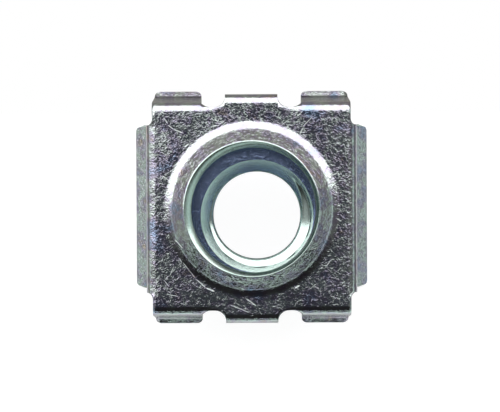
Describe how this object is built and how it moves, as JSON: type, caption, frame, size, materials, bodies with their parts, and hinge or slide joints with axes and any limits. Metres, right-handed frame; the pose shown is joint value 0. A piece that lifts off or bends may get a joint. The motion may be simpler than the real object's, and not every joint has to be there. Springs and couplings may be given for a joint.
{
  "type": "rack cage nut",
  "caption": "Loose square nut held in a folded spring-steel cage that snaps into a rack rail's square hole by flared wings, with a domed screw opening in its back plate.",
  "frame": {"origin": "on the standing plane, under the centre of the cage's hole, with the lips of the two wings on that plane", "axes": "+Z runs from the rail side to the back plate and its dome, along the screw; the snap-in wings face +X and -X, and the retaining tabs face +Y and -Y"},
  "size_m": [0.0136, 0.0134, 0.0098],
  "materials": {
    "cage_steel": "Spring steel with bright blue-passivated zinc plating, with a fine tumbled peening, hairline scratches and handling marks",
    "nut_steel": "Low-carbon steel with bright blue-passivated zinc plating, smooth on its faces"
  },
  "bodies": {
    "root": {"cage": "cage_steel", "square_nut": "nut_steel"}
  },
  "joints": []
}
